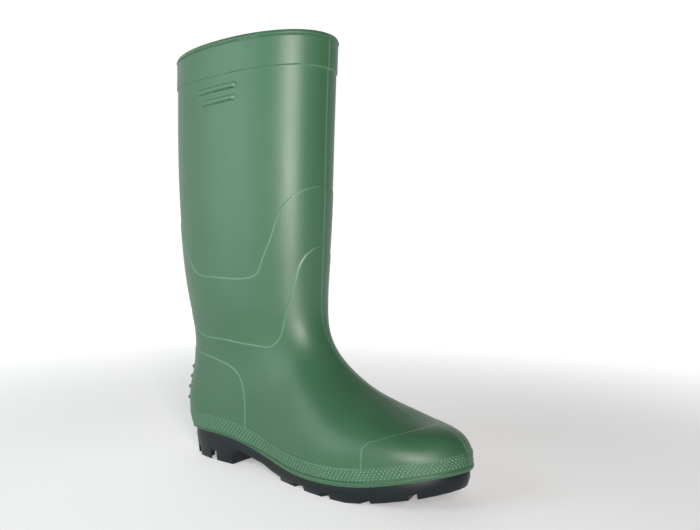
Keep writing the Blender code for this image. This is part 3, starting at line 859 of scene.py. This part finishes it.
def make_floor():
    bm = bmesh.new()
    bmesh.ops.create_circle(bm, cap_ends=True, segments=96, radius=FLOOR_RADIUS)
    mesh = bpy.data.meshes.new("floor")
    bm.to_mesh(mesh)
    bm.free()
    floor = bpy.data.objects.new("floor", mesh)
    bpy.context.scene.collection.objects.link(floor)
    made, tree, shader, position = start_material("pale_floor", 0.9)
    shader.inputs["Base Color"].default_value = (0.93, 0.93, 0.93, 1)
    shader.inputs["Emission Color"].default_value = (1, 1, 1, 1)
    # It glows more away from the boot, so that it runs into the white behind without a horizon.
    away = add(tree, "ShaderNodeVectorMath", {"operation": "LENGTH"}, _0=position).outputs["Value"]
    glow = add(
        tree, "ShaderNodeMapRange", {"interpolation_type": "SMOOTHSTEP"}, Value=away,
        From_Min=0.25, From_Max=1.1, To_Min=0.25, To_Max=0.8,
    )
    tree.links.new(glow.outputs[0], shader.inputs["Emission Strength"])
    mesh.materials.append(made)


VIEW_TURN, VIEW_PITCH, VIEW_ROLL = radians(33.933), radians(2.451), radians(1.663)
VIEW_TARGET, VIEW_DISTANCE, VIEW_LENS = (37.64, 0, 188.5), 675.9, 39.71


def direction(turn, pitch):
    """Unit vector towards a turn round the boot from its outer side, and a height above the floor."""
    return Vector((sin(turn) * cos(pitch), -cos(turn) * cos(pitch), sin(pitch)))


def make_camera():
    back = direction(VIEW_TURN, VIEW_PITCH)
    right = Vector((cos(VIEW_TURN), sin(VIEW_TURN), 0))
    up = back.cross(right)
    tilted_right = right * cos(VIEW_ROLL) + up * sin(VIEW_ROLL)
    tilted_up = up * cos(VIEW_ROLL) - right * sin(VIEW_ROLL)
    data = bpy.data.cameras.new("camera")
    data.lens, data.sensor_width = VIEW_LENS, 36
    data.clip_start, data.clip_end = 0.01, 100
    camera = bpy.data.objects.new("camera", data)
    turn = Matrix((tilted_right, tilted_up, back)).transposed().to_4x4()
    turn.translation = Vector(place(VIEW_TARGET)) + back * VIEW_DISTANCE * MM
    camera.matrix_world = turn
    bpy.context.scene.collection.objects.link(camera)
    bpy.context.scene.camera = camera


def softbox(name, turn, pitch, distance, width, height, power, colour, aim=(0, 0, 0.17), spread=180):
    data = bpy.data.lights.new(name, "AREA")
    data.spread = radians(spread)
    data.shape, data.size, data.size_y = "RECTANGLE", width, height
    data.energy, data.color = power, colour
    lamp = bpy.data.objects.new(name, data)
    towards = direction(radians(turn), radians(pitch))
    lamp.location = Vector(aim) + towards * distance
    lamp.rotation_euler = towards.to_track_quat("Z", "Y").to_euler()
    bpy.context.scene.collection.objects.link(lamp)


WHITE, DIM, DIM_SIDE = 1.02, 0.04, (radians(62), radians(35))


def make_light():
    world = bpy.data.worlds.new("studio")
    bpy.context.scene.world = world
    world.use_nodes = True
    tree = world.node_tree
    shade = tree.nodes["Background"]
    shade.inputs["Color"].default_value = (1, 1, 1, 1)
    # A white backdrop that lights the boot from behind and the left, but little from in front and above.
    seen = add(tree, "ShaderNodeTexCoord").outputs["Generated"]
    facing = add(tree, "ShaderNodeVectorMath", {"operation": "DOT_PRODUCT"}, _0=seen, _1=direction(*DIM_SIDE))
    glow = add(
        tree, "ShaderNodeMapRange", {"interpolation_type": "SMOOTHSTEP"}, Value=facing.outputs["Value"],
        From_Min=-0.5, From_Max=0.35, To_Min=WHITE, To_Max=DIM,
    )
    seen_directly = times(tree, add(tree, "ShaderNodeLightPath").outputs["Is Camera Ray"], WHITE)
    tree.links.new(math(tree, "MAXIMUM", glow.outputs[0], seen_directly), shade.inputs["Strength"])
    bpy.context.scene.view_settings.view_transform = "Standard"
    softbox("key_strip", 43, 6, 1.3, 0.45, 0.75, 4.0, (1, 0.93, 0.9), (-0.05, 0, 0.34), 70)
    softbox("left_fill", -28, 14, 1.6, 1.1, 1.2, 14, (0.82, 0.95, 1))


green = green_plastic()
skin_relief = Relief()
skin = make_skin(skin_relief, green)
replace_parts(skin, "upper")
make_foxing(green)
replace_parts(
    make_outsole(black_rubber("black_tread", 900, 0.25, 0.8), black_rubber("black_sides", 500, 0.06, 0.25)),
    "outsole",
)
lining = make_lining(knit())
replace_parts(lining, "lining")
footbed = make_footbed(
    speckled("felt", (0.045, 0.05, 0.05), (0.13, 0.135, 0.13), 900, 0.15, 0.95),
    speckled("foam", (0.05, 0.055, 0.055), (0.085, 0.09, 0.09), 1500, 0.1, 0.85),
)
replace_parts(footbed, "insole")
for node, stock in (
    ("insole_board", speckled("fibre_board", (0.20, 0.14, 0.08), (0.36, 0.27, 0.17), 700, 0.1, 0.85)),
    ("heel_filler", speckled("cork_filler", (0.16, 0.10, 0.05), (0.46, 0.34, 0.21), 260, 0.3, 0.9)),
):
    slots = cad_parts[node].data.materials
    slots.clear()
    slots.append(stock)

make_floor()
make_camera()
make_light()
